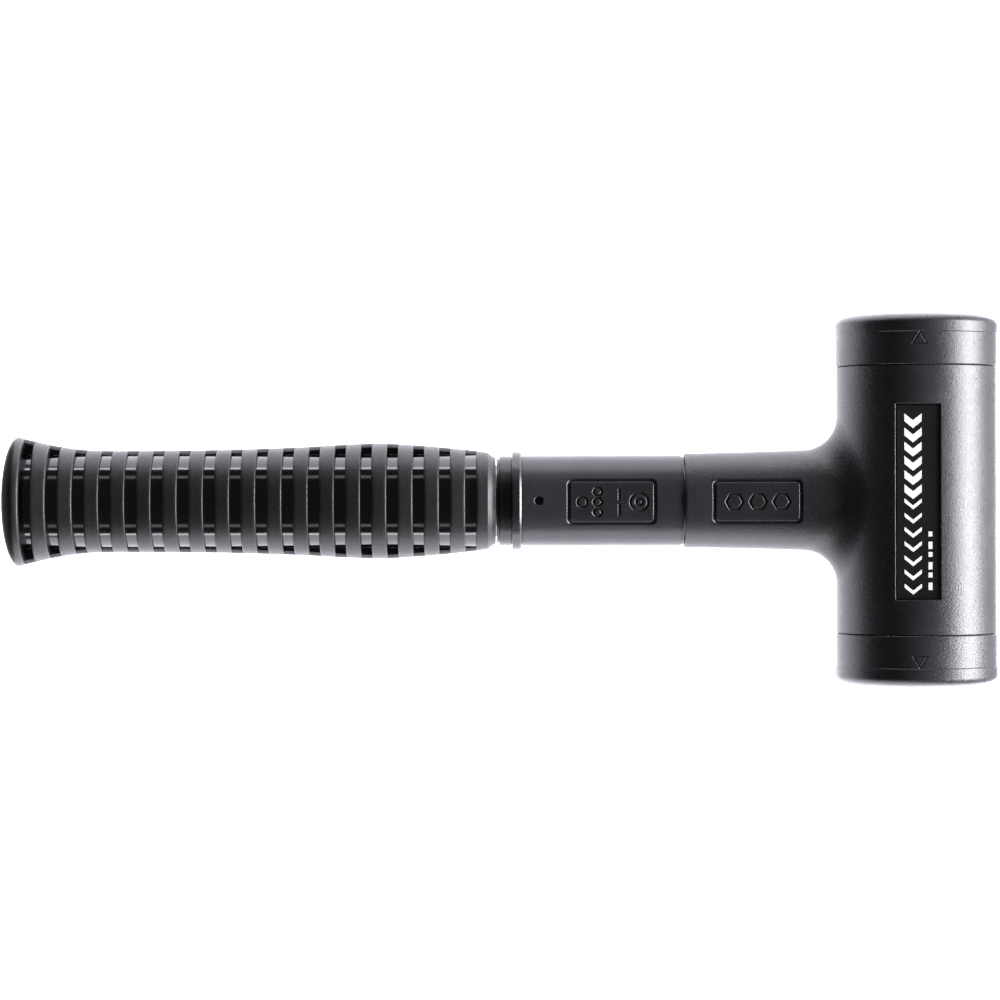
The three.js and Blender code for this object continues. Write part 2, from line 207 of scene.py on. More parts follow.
def along_y(y, radius, angle):
    """Point on a circle about the head axis; angle 0 is towards the handle and a quarter turn is +Z."""
    return (HEAD_X - radius * math.cos(angle), y, AXIS_Z + radius * math.sin(angle))


def revolve(outline, place, segments=AROUND):
    """Turned surface: outline points are (position, radius); a radius of zero closes the end."""
    vertices = []
    rows = []
    for position, radius in outline:
        if radius == 0:
            rows.append([len(vertices)] * segments)
            vertices.append(place(position, 0, 0))
            continue
        rows.append(list(range(len(vertices), len(vertices) + segments)))
        for step in range(segments):
            vertices.append(place(position, radius, 2 * math.pi * step / segments))
    return vertices, stitch(rows, segments)


def stitch(rows, segments, is_open=lambda row, step: False):
    """Faces between closed rows of points; where is_open says so, a face is left out."""
    faces = []
    for index, (low, high) in enumerate(zip(rows, rows[1:])):
        for step in range(segments):
            if is_open(index, step):
                continue
            after = (step + 1) % segments
            corners = [low[step], low[after], high[after], high[step]]
            face = [c for k, c in enumerate(corners) if c != corners[k - 1]]
            if len(face) > 2:
                faces.append(face)
    return faces


def stack(loops):
    """Closed solid through loops of points, one over another."""
    size = len(loops[0])
    rows = [list(range(level * size, (level + 1) * size)) for level in range(len(loops))]
    vertices = [point for loop in loops for point in loop]
    return vertices, [rows[0][::-1], rows[-1]] + stitch(rows, size)


def rounded(points, steps=5):
    """Outline with arcs: points are (position, radius, corner size), open or closed by its last point."""
    result = []
    for index, (position, radius, corner) in enumerate(points):
        here = Vector((position, radius))
        if corner == 0 or index in (0, len(points) - 1):
            result.append((position, radius))
            continue
        before = (Vector(points[index - 1][:2]) - here).normalized()
        after = (Vector(points[index + 1][:2]) - here).normalized()
        half = before.angle(after) / 2
        start = here + before * corner / math.tan(half)
        centre = here + (before + after).normalized() * corner / math.sin(half)
        first = start - centre
        last = here + after * corner / math.tan(half) - centre
        sweep = first.angle(last)
        for step in range(steps + 1):
            share = step / steps
            arm = first * math.sin((1 - share) * sweep) + last * math.sin(share * sweep)
            point = centre + arm / math.sin(sweep)
            result.append((point.x, point.y))
    return result


SHARPEST_MITRE = 0.3


def ribbon(path, section, place, closed=True):
    """Solid that follows a flat path on a surface; section points are (side, height)."""
    count = len(path)
    vertices = []
    for index, (u, v) in enumerate(path):
        if closed:
            last, following = path[index - 1], path[(index + 1) % count]
        else:
            last, following = path[max(index - 1, 0)], path[min(index + 1, count - 1)]
        here = Vector((u, v))
        into = here - Vector(last)
        out = Vector(following) - here
        into = (into if into.length else out).normalized()
        out = (out if out.length else into).normalized()
        along = (into + out).normalized()
        side = Vector((-along.y, along.x)) / max(along.dot(out), SHARPEST_MITRE)
        for offset, height in section:
            spot = here + side * offset
            vertices.append(place(spot.x, spot.y, height))
    size = len(section)
    faces = []
    for index in range(count if closed else count - 1):
        after = (index + 1) % count
        for k in range(size):
            k2 = (k + 1) % size
            faces.append([index * size + k, index * size + k2, after * size + k2, after * size + k])
    if not closed:
        faces.append(list(range(size))[::-1])
        faces.append([(count - 1) * size + k for k in range(size)])
    return vertices, faces


def on_handle(radius):
    """Wraps flat marks (along the handle, across it) onto the handle's top."""
    def place(u, v, height):
        return along_x(u, radius(u) + height, math.pi / 2 - (v + PANEL_SHIFT) / radius(u))
    return place


def on_head(radius):
    """Wraps flat marks (across the head, along it) onto the head's top, in line with the badge."""
    def place(u, v, height):
        return along_y(v, radius + height, math.pi / 2 - BADGE_TURN + u / radius)
    return place


def round_rectangle(from_u, to_u, half, corner, steps=6):
    """Closed path around a rectangle with rounded corners, even about v = 0."""
    path = []
    centres = ((to_u - corner, half - corner, 0), (from_u + corner, half - corner, 1),
               (from_u + corner, corner - half, 2), (to_u - corner, corner - half, 3))
    for u, v, quarter in centres:
        for step in range(steps + 1):
            angle = (quarter + step / steps) * math.pi / 2
            path.append((u + corner * math.cos(angle), v + corner * math.sin(angle)))
    return dense(path)


def dense(path, step=1.2 * MM, closed=True):
    """Adds points to long straight stretches, so that they follow a curved surface."""
    result = []
    following = path[1:] + path[:1] if closed else path[1:]
    for a, b in zip(path, following):
        parts = max(1, math.ceil(math.dist(a, b) / step))
        for k in range(parts):
            result.append((a[0] + (b[0] - a[0]) * k / parts, a[1] + (b[1] - a[1]) * k / parts))
    if not closed:
        result.append(path[-1])
    return result


def spaced(outline, step):
    """Adds points to the long stretches of an open outline."""
    return dense(outline, step, False)


def polygon(u, v, radius, sides):
    angles = [2 * math.pi * k / sides for k in range(sides)]
    return [(u + radius * math.cos(a), v + radius * math.sin(a)) for a in angles]


def groove(width, depth, floor=0.14 * MM, lip=0.1 * MM):
    """Section of a cutter for a groove with sloped walls, a narrow floor and softened lips."""
    half = width / 2
    above = 0.6 * MM
    wall = Vector((half - floor, depth)).normalized() * lip
    right = ((floor, -depth), (half - wall.x, -wall.y), (half + lip, 0), (half + lip, above))
    return right + tuple((-side, height) for side, height in reversed(right))


def cut(piece, cutters):
    """Takes the cutters, given as (vertices, faces), out of the piece."""
    temporary = []
    before = len(piece.data.vertices)
    for vertices, faces in cutters:
        mesh = bpy.data.meshes.new("cutter")
        mesh.from_pydata(vertices, [], faces)
        cutter = bpy.data.objects.new("cutter", mesh)
        bpy.context.scene.collection.objects.link(cutter)
        temporary.append(cutter)
        modifier = piece.modifiers.new("cut", "BOOLEAN")
        modifier.operation = "DIFFERENCE"
        modifier.solver = "EXACT"
        modifier.object = cutter
    graph = bpy.context.evaluated_depsgraph_get()
    shaped = bpy.data.meshes.new_from_object(piece.evaluated_get(graph))
    if len(shaped.vertices) < before / 2:
        raise RuntimeError("a cut has emptied " + piece.name)
    piece.modifiers.clear()
    piece.data = shaped
    for cutter in temporary:
        bpy.data.objects.remove(cutter)
    finish_mesh(piece)


def true_normals(piece, ideal):
    """Shades faces that lie on an exact surface with its own normals, so that cuts leave no streaks."""
    least_agreement = 0.995
    mesh = piece.data
    normals = [Vector(corner.vector) for corner in mesh.corner_normals]
    for face in mesh.polygons:
        for loop in face.loop_indices:
            exact = ideal(mesh.vertices[mesh.loops[loop].vertex_index].co)
            if exact and face.normal.dot(exact) > least_agreement:
                normals[loop] = exact
    mesh.normals_split_custom_set(normals)


def handle_normal(radius, from_x, to_x):
    """Normals of a surface turned about the handle axis."""
    def ideal(point):
        out = Vector((0, point.y, point.z - AXIS_Z))
        if not from_x < point.x < to_x or abs(out.length - radius(point.x)) > EXACT:
            return None
        rise = (radius(point.x + MM) - radius(point.x - MM)) / (2 * MM)
        return Vector((-rise, out.y / out.length, out.z / out.length)).normalized()
    return ideal


def head_normal(radius):
    """Normals of a cylinder about the head axis."""
    def ideal(point):
        out = Vector((point.x - HEAD_X, 0, point.z - AXIS_Z))
        return out.normalized() if abs(out.length - radius) < EXACT else None
    return ideal


def inlay(piece, panel, material):
    """Gives the faces inside a panel on the handle's top their own material."""
    from_x, to_x, half = panel
    piece.data.materials.append(material)
    for face in piece.data.polygons:
        middle = face.center
        across = math.atan2(middle.y, middle.z - AXIS_Z) * SLEEVE_R
        if from_x < middle.x < to_x and abs(across - PANEL_SHIFT) < half:
            face.material_index = 1


def panel_border(panel, wrap):
    """Cutter for the groove around a panel; the groove's outer side is the panel's edge."""
    from_x, to_x, half = panel
    inset = PANEL_GROOVE[0] / 2
    path = round_rectangle(from_x + inset, to_x - inset, half - inset, PANEL_CORNER)
    return ribbon(path, groove(*PANEL_GROOVE), wrap)


def box_solid(low, high, place):
    corners = itertools.product(*zip(low, high))
    faces = [[0, 1, 3, 2], [4, 6, 7, 5], [0, 4, 5, 1], [2, 3, 7, 6], [0, 2, 6, 4], [1, 5, 7, 3]]
    return [place(*corner) for corner in corners], faces


def badge_place(x, y, z):
    """Badge frame: x across, y along the head from the badge's middle, z out from the head axis."""
    return (HEAD_X + x * math.cos(BADGE_TURN) - z * math.sin(BADGE_TURN), BADGE_Y + y,
            AXIS_Z + x * math.sin(BADGE_TURN) + z * math.cos(BADGE_TURN))


def settle(piece, body, slot, *nodes):
    """Gives a piece its body and hides the nodes that it stands for; the slot is not used."""
    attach(piece, body)
    if nodes:
        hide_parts(*nodes)
    return piece


# Materials

class Nodes:
    """Small builder for a material's node tree."""

    def __init__(self, name):
        self.material = bpy.data.materials.new(name)
        self.material.use_nodes = True
        self.tree = self.material.node_tree
        self.shader = self.tree.nodes["Principled BSDF"]
        coordinates = self.tree.nodes.new("ShaderNodeTexCoord")
        self.place = coordinates.outputs["Object"]

    def link(self, source, target):
        self.tree.links.new(source, target)

    def stretched(self, scale):
        mapping = self.tree.nodes.new("ShaderNodeMapping")
        mapping.inputs["Scale"].default_value = scale
        self.link(self.place, mapping.inputs["Vector"])
        return mapping.outputs["Vector"]

    def noise(self, scale, detail=3.0, roughness=0.55, vector=None):
        node = self.tree.nodes.new("ShaderNodeTexNoise")
        node.inputs["Scale"].default_value = scale
        node.inputs["Detail"].default_value = detail
        node.inputs["Roughness"].default_value = roughness
        self.link(vector or self.place, node.inputs["Vector"])
        return node.outputs["Fac"]

    def ramp(self, source, low, high, start, end):
        node = self.tree.nodes.new("ShaderNodeMapRange")
        node.inputs["From Min"].default_value = low
        node.inputs["From Max"].default_value = high
        node.inputs["To Min"].default_value = start
        node.inputs["To Max"].default_value = end
        self.link(source, node.inputs["Value"])
        return node.outputs["Result"]

    def blend(self, factor, first, second):
        node = self.tree.nodes.new("ShaderNodeMix")
        node.data_type = "RGBA"
        self.link(factor, node.inputs["Factor"])
        for value, socket in ((first, node.inputs["A"]), (second, node.inputs["B"])):
            if isinstance(value, tuple):
                socket.default_value = (*value, 1)
            else:
                self.link(value, socket)
        return node.outputs["Result"]

    def times(self, first, second):
        node = self.tree.nodes.new("ShaderNodeMath")
        node.operation = "MULTIPLY"
        self.link(first, node.inputs[0])
        self.link(second, node.inputs[1])
        return node.outputs["Value"]

    def edges(self):
        """Bright on convex edges."""
        geometry = self.tree.nodes.new("ShaderNodeNewGeometry")
        return self.ramp(geometry.outputs["Pointiness"], 0.51, 0.58, 0, 1)

    def bump(self, height, depth, strength=1.0):
        node = self.tree.nodes.new("ShaderNodeBump")
        node.inputs["Distance"].default_value = depth
        node.inputs["Strength"].default_value = strength
        self.link(height, node.inputs["Height"])
        return node.outputs["Normal"]

    def toward_butt(self, from_x, to_x):
        """One up to from_x along the handle, falling to nothing at to_x."""
        split = self.tree.nodes.new("ShaderNodeSeparateXYZ")
        self.link(self.place, split.inputs["Vector"])
        return self.ramp(split.outputs["X"], from_x, to_x, 1, 0)

    def scaled(self, colour, factor):
        node = self.tree.nodes.new("ShaderNodeVectorMath")
        node.operation = "SCALE"
        self.link(colour, node.inputs[0])
        self.link(factor, node.inputs["Scale"])
        return node.outputs["Vector"]


# Scales of the noise textures, in features to the metre
BLOTCHES = 55
SMEARS = 130
RUBBING = 900

# Half the range of an elastomer's roughness, and the tones of rubbed edges
GLOSS_SPREAD = 0.03
RUBBED_TONE = (0.05, 0.05, 0.053)
GRIP_RUBBED_TONE = (0.035, 0.033, 0.035)


def grained(name, dark, light, roughness, grain, depth, specular=0.4, worn=RUBBED_TONE, wear=0.25,
            zone=None):
    """Moulded elastomer or plastic: even grain, blotches of tone and gloss, paler rubbed edges.

    A zone is (from_x, to_x, tone, gloss): the handle side of it has its tone and roughness scaled.
    On the head jacket the zone is a painted sheen: a lighter neck in place of the light that falls on it.
    """
    n = Nodes(name)
    n.shader.inputs["Specular IOR Level"].default_value = specular
    speck = n.noise(grain * 1.7, 2, 0.7)
    tone = n.blend(n.ramp(n.noise(BLOTCHES, 4), 0.35, 0.65, 0, 1), dark, light)
    tone = n.blend(n.ramp(speck, 0.62, 0.8, 0, 0.2), tone, worn)
    rubbed = n.times(n.edges(), n.ramp(n.noise(RUBBING, 3), 0.4, 0.65, 0, wear))
    tone = n.blend(rubbed, tone, worn)
    gloss = n.ramp(n.noise(SMEARS, 5, 0.6), 0.3, 0.7, roughness - GLOSS_SPREAD, roughness + GLOSS_SPREAD)
    if zone:
        from_x, to_x, tone_scale, gloss_scale = zone
        mask = n.toward_butt(from_x, to_x)
        tone = n.scaled(tone, n.ramp(mask, 0, 1, 1, tone_scale))
        gloss = n.times(gloss, n.ramp(mask, 0, 1, 1, gloss_scale))
    n.link(tone, n.shader.inputs["Base Color"])
    n.link(gloss, n.shader.inputs["Roughness"])
    n.link(n.bump(n.noise(grain, 3, 0.6), depth), n.shader.inputs["Normal"])
    return n.material


def gloss_plastic(name, colour, roughness, specular):
    """Polished plastic with faint smears."""
    n = Nodes(name)
    n.shader.inputs["Specular IOR Level"].default_value = specular
    smear = n.noise(90, 4, 0.6)
    n.link(n.blend(n.ramp(smear, 0.3, 0.7, 0, 1), colour, tuple(c * 1.7 for c in colour)),
           n.shader.inputs["Base Color"])
    n.link(n.ramp(smear, 0.3, 0.7, roughness * 0.7, roughness * 1.4), n.shader.inputs["Roughness"])
    n.link(n.bump(n.noise(700, 2), 0.004 * MM), n.shader.inputs["Normal"])
    return n.material


def drawn_steel(name, dark, light, roughness, stretch):
    """Steel with fine drawing lines along its length."""
    n = Nodes(name)
    lines = n.noise(900, 4, 0.65, n.stretched(stretch))
    tone = n.blend(n.ramp(lines, 0.3, 0.7, 0, 1), dark, light)
    stain = n.ramp(n.noise(70, 5, 0.6), 0.5, 0.72, 0, 0.5)
    n.link(n.blend(stain, tone, (0.2, 0.16, 0.12)), n.shader.inputs["Base Color"])
    n.shader.inputs["Metallic"].default_value = 1
    n.link(n.ramp(lines, 0.3, 0.7, roughness - 0.08, roughness + 0.1), n.shader.inputs["Roughness"])
    n.link(n.bump(lines, 0.01 * MM, 0.5), n.shader.inputs["Normal"])
    return n.material


def weld_metal():
    """Rippled bead with heat colours."""
    n = Nodes("weld_metal")
    heat = n.ramp(n.noise(260, 3), 0.35, 0.7, 0, 1)
    tone = n.blend(heat, (0.32, 0.3, 0.27), (0.2, 0.17, 0.26))
    n.link(tone, n.shader.inputs["Base Color"])
    n.shader.inputs["Metallic"].default_value = 1
    n.link(n.ramp(n.noise(900, 3), 0.3, 0.7, 0.35, 0.6), n.shader.inputs["Roughness"])
    ripples = n.tree.nodes.new("ShaderNodeTexWave")
    ripples.inputs["Scale"].default_value = 260
    ripples.inputs["Distortion"].default_value = 3
    n.link(n.place, ripples.inputs["Vector"])
    n.link(n.bump(ripples.outputs["Fac"], 0.15 * MM), n.shader.inputs["Normal"])
    return n.material


def printed_white():
    """Screen print: slightly uneven white ink with pinholes."""
    n = Nodes("printed_white")
    pinhole = n.ramp(n.noise(5200, 2), 0.66, 0.74, 0, 0.5)
    ink = n.blend(n.ramp(n.noise(300, 3), 0.3, 0.7, 0, 1), (0.9, 0.9, 0.9), (0.96, 0.96, 0.96))
    n.link(n.blend(pinhole, ink, (0.25, 0.25, 0.26)), n.shader.inputs["Base Color"])
    n.link(n.ramp(n.noise(800, 3), 0.3, 0.7, 0.42, 0.6), n.shader.inputs["Roughness"])
    n.link(n.bump(n.noise(2600, 2), 0.01 * MM, 0.6), n.shader.inputs["Normal"])
    return n.material


HEAD_TONES = ((0.0148, 0.0146, 0.0166), (0.0198, 0.0195, 0.0222))
SLEEVE_TONES = ((0.0192, 0.0197, 0.0228), (0.0248, 0.0254, 0.0294))
PANEL_TONES = ((0.0135, 0.0136, 0.0154), (0.0178, 0.0178, 0.02))
RING_TONES = ((0.009, 0.009, 0.0097), (0.013, 0.013, 0.014))
GRIP_TONES = ((0.0105, 0.01, 0.0105), (0.0148, 0.0142, 0.0149))
BADGE_TONES = ((0.007, 0.007, 0.0075), (0.01, 0.01, 0.0105))
PLUG_TONES = ((0.015, 0.015, 0.015), (0.022, 0.022, 0.022))
CORE_TONE = (0.0028, 0.0028, 0.0036)
# Painted sheen: the jacket's tone is lightened 1.3 times along the neck away from the head, in place of the
# light that falls on it there
NECK_PAINTED_SHEEN_ZONE = (HEAD_X - 55 * MM, HEAD_X - 20 * MM, 1.3, 1.1)
NOSE_ZONE = (ring_low.x, ring_high.x, 0.3, 0.85)

HEAD_SKIN = grained("head_polyurethane_skin", *HEAD_TONES, 0.28, 2300, 0.12 * MM, zone=NECK_PAINTED_SHEEN_ZONE)
CAP_SKIN = grained("cap_polyurethane_skin", *HEAD_TONES, 0.28, 2300, 0.12 * MM)
SLEEVE_SKIN = grained("sleeve_skin", *SLEEVE_TONES, 0.31, 2600, 0.06 * MM, 0.36, zone=NOSE_ZONE)
PANEL_SKIN = grained("panel_skin", *PANEL_TONES, 0.27, 3500, 0.04 * MM)
RING_SKIN = grained("ring_skin", *RING_TONES, 0.28, 3500, 0.03 * MM, 0.5)
GRIP_SKIN = grained("grip_rubber_skin", *GRIP_TONES, 0.37, 2400, 0.12 * MM, 0.37,
                    worn=GRIP_RUBBED_TONE, wear=0.12)
BADGE_SKIN = grained("badge_skin", *BADGE_TONES, 0.26, 3500, 0.02 * MM, 0.5, wear=0.1)
PLUG_PLASTIC = grained("tube_plug_plastic", *PLUG_TONES, 0.55, 2400, 0.01 * MM)
CORE_SKIN = gloss_plastic("core_gloss_skin", CORE_TONE, 0.1, 0.56)
PRINT_SKIN = printed_white()
CANISTER_STEEL = drawn_steel("canister_drawn_steel", (0.32, 0.32, 0.33), (0.55, 0.55, 0.56), 0.36,
                             (1, 0.05, 1))
TUBE_STEEL = drawn_steel("tube_drawn_steel", (0.3, 0.3, 0.31), (0.5, 0.5, 0.51), 0.34, (0.05, 1, 1))
PLUG_STEEL = drawn_steel("blackened_screw_steel", (0.05, 0.05, 0.052), (0.1, 0.1, 0.105), 0.42,
                         (1, 1, 1))
SHOT_STEEL = drawn_steel("shot_bright_steel", (0.4, 0.4, 0.41), (0.62, 0.62, 0.63), 0.28, (1, 1, 1))
WELD_METAL = weld_metal()


# Head

def neck_radius(x):
    """The neck swells gently from the sleeve to the fillet."""
    end = HEAD_X - BODY_R - FILLET_R
    share = min(max((x - NECK_X) / (end - NECK_X), 0), 1)
    start, middle, last = NECK_RADII
    bulge = 4 * share * (1 - share)
    return start + (last - start) * share + (middle - (start + last) / 2) * bulge


def jacket_surface():
    """The T-shaped outside: neck, rolling-ball fillet and round head on one net of faces."""
    neck_r = NECK_RADII[2]
    off = neck_r + FILLET_R
    reach = BODY_R + FILLET_R
    side_turn = math.radians(80)

    def contact(phi):
        """Where the fillet meets the head, as (turn about the head axis, y)."""
        return math.asin(off * math.sin(phi) / reach), off * math.cos(phi)

    def slope(phi):
        turn, y = contact(phi)
        return turn * BODY_HALF - abs(y) * side_turn

    low, high = 0.01, math.pi / 2
    halvings = 60
    for _ in range(halvings):
        middle = (low + high) / 2
        low, high = (middle, high) if slope(middle) < 0 else (low, middle)
    corner = low
    across, along = 44, 36
    angles = []
    for start, end, count in ((-corner, corner, across), (corner, math.pi - corner, along),
                              (math.pi - corner, math.pi + corner, across),
                              (math.pi + corner, 2 * math.pi - corner, along)):
        angles += [start + (end - start) * k / count for k in range(count)]
    size = len(angles)

    vertices = [along_x(NECK_X, 0, 0)]
    rows = [[0] * size]

    def row(points):
        rows.append(list(range(len(vertices), len(vertices) + size)))
        vertices.extend(points)

    edge_steps = 4
    for step in range(edge_steps + 1):
        angle = step / edge_steps * math.pi / 2
        x = NECK_X + NECK_EDGE * (1 - math.cos(angle))
        radius = neck_radius(x) - NECK_EDGE * (1 - math.sin(angle))
        row([along_x(x, radius, phi) for phi in angles])
    first_ring = NECK_X + 1 * MM
    last_ring = HEAD_X - reach - 1.2 * MM
    neck_steps = 26
    for step in range(neck_steps + 1):
        x = first_ring + (last_ring - first_ring) * step / neck_steps
        row([along_x(x, neck_radius(x), phi) for phi in angles])

    def spine(phi):
        return HEAD_X - math.sqrt(reach ** 2 - (off * math.sin(phi)) ** 2)

    for step in range(1, 3):
        row([along_x(last_ring + (spine(phi) - last_ring) * step / 3, neck_r, phi) for phi in angles])
    arc_steps = 14
    for step in range(arc_steps + 1):
        points = []
        for phi in angles:
            centre = Vector(along_x(spine(phi), off, phi))
            foot = Vector(along_x(spine(phi), neck_r, phi)) - centre
            axis_point = Vector((HEAD_X, centre.y, AXIS_Z))
            head = (axis_point - centre).normalized() * FILLET_R
            sweep = foot.angle(head)
            share = step / arc_steps
            arm = foot * math.sin((1 - share) * sweep) + head * math.sin(share * sweep)
            points.append(tuple(centre + arm / math.sin(sweep)))
        row(points)

    def border(phi):
        turn, y = contact(phi)
        scale = min(side_turn / max(abs(turn), 1e-9), BODY_HALF / max(abs(y), 1e-9))
        return turn * scale, y * scale

    spread_steps = 12
    for step in range(1, spread_steps + 1):
        share = step / spread_steps
        points = []
        for phi in angles:
            (turn, y), (turn_end, y_end) = contact(phi), border(phi)
            points.append(along_y(y + (y_end - y) * share, BODY_R, turn + (turn_end - turn) * share))
        row(points)
    faces = stitch(rows, size)

    # The rest of the head's barrel, from one side of that net round to the other
    rim = rows[-1]
    side = rim[across:across + along + 1]
    other = [rim[(2 * across + along + k) % size] for k in range(along + 1)][::-1]
    columns = [side]
    wrap = 56
    for step in range(1, wrap):
        turn = side_turn + (2 * math.pi - 2 * side_turn) * step / wrap
        columns.append(list(range(len(vertices), len(vertices) + along + 1)))
        vertices.extend(along_y(vertices[k][1], BODY_R, turn) for k in side)
    columns.append(other)
    for left, right in zip(columns, columns[1:]):
        for k in range(along):
            faces.append([left[k], left[k + 1], right[k + 1], right[k]])

    # Flat ends of the barrel
    top = [rim[k] for k in range(across + 1)] + [column[0] for column in columns[1:-1]]
    bottom = [rim[across + along + k] for k in range(across + 1)]
    bottom += [column[-1] for column in columns[1:-1]][::-1]
    faces.append(top)
    faces.append(bottom)
    return vertices, faces


def head_bores():
    """Cutters for the canister, and for the tube with its weld."""
    long = 2 * BODY_HALF
    across = CANISTER_R + GAP
    along = TUBE_R + GAP
    weld_from = HEAD_X - CANISTER_R - WELD_POCKET_DEPTH
    canister = [(-long, 0), (-long, across), (long, across), (long, 0)]
    tube = [(0, 0), (0, along), (weld_from, along), (weld_from, WELD_POCKET_R), (HEAD_X, WELD_POCKET_R),
            (HEAD_X, 0)]
    return [revolve(canister, along_y, BORE_AROUND), revolve(tube, along_x, BORE_AROUND)]


def badge_recess():
    """Cutters for the badge's pocket and for the fine groove around it."""
    half_width = BADGE_SIZE[0] / 2 + BADGE_GAP
    half_length = BADGE_SIZE[1] / 2 + BADGE_GAP
    low = (-half_width, -half_length, BADGE_TOP - BADGE_POCKET)
    high = (half_width, half_length, COLLAR_R * 1.2)
    rim = BODY_R * math.asin(half_width / BODY_R)
    border = [(u, v + BADGE_Y) for u, v in round_rectangle(-rim, rim, half_length, 0.3 * MM)]
    return [box_solid(low, high, badge_place), ribbon(border, groove(*BADGE_BORDER), on_head(BODY_R))]


def neck_marks():
    """Cutters for the neck's panel: its border and three hexagons."""
    from_x, to_x, _ = NECK_PANEL
    span = to_x - from_x
    hexagon_r = 2.6 * MM
    wrap = on_handle(neck_radius)
    cutters = [panel_border(NECK_PANEL, wrap)]
    for share in (0.24, 0.5, 0.76):
        hexagon = dense(polygon(from_x + span * share, 0, hexagon_r, 6))
        cutters.append(ribbon(hexagon, groove(*MARK_GROOVE), wrap))
    return cutters


def head_jacket():
    vertices, faces = jacket_surface()
    piece = new_object("head_jacket_skin", vertices, faces, HEAD_SKIN)
    cut(piece, head_bores() + badge_recess() + neck_marks())
    inlay(piece, NECK_PANEL, PANEL_SKIN)
    on_neck = handle_normal(neck_radius, NECK_X + NECK_EDGE, HEAD_X - BODY_R - FILLET_R)
    on_barrel = head_normal(BODY_R)
    true_normals(piece, lambda point: on_neck(point) or on_barrel(point))
    return settle(piece, "mallet", "head_polyurethane", "head_jacket")


def face_edge(steps=14):
    """The soft edge of a striking face: a quarter of an ellipse, deeper inward than along the head."""
    along, inward = FACE_EDGE
    turns = [math.pi / 2 * k / steps for k in range(steps + 1)]
    return [(FACE_Y - along * (1 - math.sin(t)), COLLAR_R - inward * (1 - math.cos(t)), 0) for t in turns]


def arrow(side):
    """Outline of the small triangle that points at the striking face."""
    base = side * ARROW_BASE_Y
    tip = side * (ARROW_BASE_Y + ARROW_HEIGHT)
    corners = [(ARROW_SHIFT - ARROW_HALF, base), (ARROW_SHIFT + ARROW_HALF, base), (ARROW_SHIFT, tip)]
    return dense(corners, 0.6 * MM)


def striking_cap(side):
    """One of the two caps: a collar with a chamfer at the seam, a wear line and a soft face edge."""
    inner = BODY_HALF + SEAM
    band_r = COLLAR_R - WEAR_STEP
    spigot = canister_high.y + SPIGOT_GAP
    outline = rounded([
        (spigot, 0, 0),
        (spigot, CANISTER_R, 0.4 * MM),
        (inner, CANISTER_R, 0),
        (inner, band_r - COLLAR_EDGE[1], 0.05 * MM),
        (inner + COLLAR_EDGE[0], band_r, 0.05 * MM),
        (WEAR_LINE_Y, band_r, 0.03 * MM),
        (WEAR_LINE_Y + WEAR_STEP, COLLAR_R, 0.03 * MM),
        *face_edge(),
        (FACE_Y, 0, 0),
    ], 7)
    outline = spaced(outline, 3 * MM)
    vertices, faces = revolve([(side * y, radius) for y, radius in outline], along_y)
    name = "striking_cap_upper" if side > 0 else "striking_cap_lower"
    piece = new_object(name + "_skin", vertices, faces, CAP_SKIN)
    cut(piece, [ribbon(arrow(side), groove(*ARROW_GROOVE), on_head(band_r))])
    on_band, on_rim = head_normal(band_r), head_normal(COLLAR_R)
    true_normals(piece, lambda point: on_band(point) or on_rim(point))
    return settle(piece, "mallet", "cap_polyurethane", name)


def badge():
    """A thin plate with rounded corners and a bevelled rim."""
    half_x, half_y = BADGE_SIZE[0] / 2, BADGE_SIZE[1] / 2
    edge = round_rectangle(-half_x, half_x, half_y, BADGE_CORNER, 3)

    def level(inset, height):
        return [badge_place(u * (1 - inset / half_x), v * (1 - inset / half_y), height) for u, v in edge]

    round_off = 0.3 * BADGE_BEVEL
    vertices, faces = stack([level(0, BADGE_TOP - BADGE_THICK), level(0, BADGE_TOP - BADGE_BEVEL),
                             level(round_off, BADGE_TOP - round_off), level(BADGE_BEVEL, BADGE_TOP)])
    piece = new_object("badge_plate_skin", vertices, faces, BADGE_SKIN)
    out = Vector((-math.sin(BADGE_TURN), 0, math.cos(BADGE_TURN)))
    true_normals(piece, lambda point: out)
    return settle(piece, "mallet", "badge_black", "badge_plate")


def badge_print():
    """Plain chevrons and dashes, heavy at first and then light, with a file of dashes beside them."""
    thick = 0.03 * MM
    vertices, faces = [], []

    def add(outline):
        start = len(vertices)
        loops = [[badge_place(x, y, height) for x, y in outline]
                 for height in (BADGE_TOP - thick, BADGE_TOP + thick)]
        points, sides = stack(loops)
        vertices.extend(points)
        faces.extend([start + k for k in side] for side in sides)

    left, right = -4.1 * MM, 1.1 * MM
    middle = (left + right) / 2
    rise = 2.1 * MM
    weights = [2.4 * MM] * 6 + [1.2 * MM] * 7
    for index, weight in enumerate(weights):
        y = 26.8 * MM - index * 4.3 * MM
        low = y - weight
        add([(left, y), (middle, y - rise), (right, y), (right, low), (middle, low - rise), (left, low)])

    left, right = 3.1 * MM, 4.3 * MM
    lengths = [1.5 * MM, 2.2 * MM] * 3
    for index, length in enumerate(lengths):
        y = -9 * MM - index * 3.1 * MM
        add([(left, y - length), (right, y - length), (right, y), (left, y)])
    piece = new_object("badge_print", vertices, faces, PRINT_SKIN)
    return settle(piece, "mallet", "badge_black")


# Handle

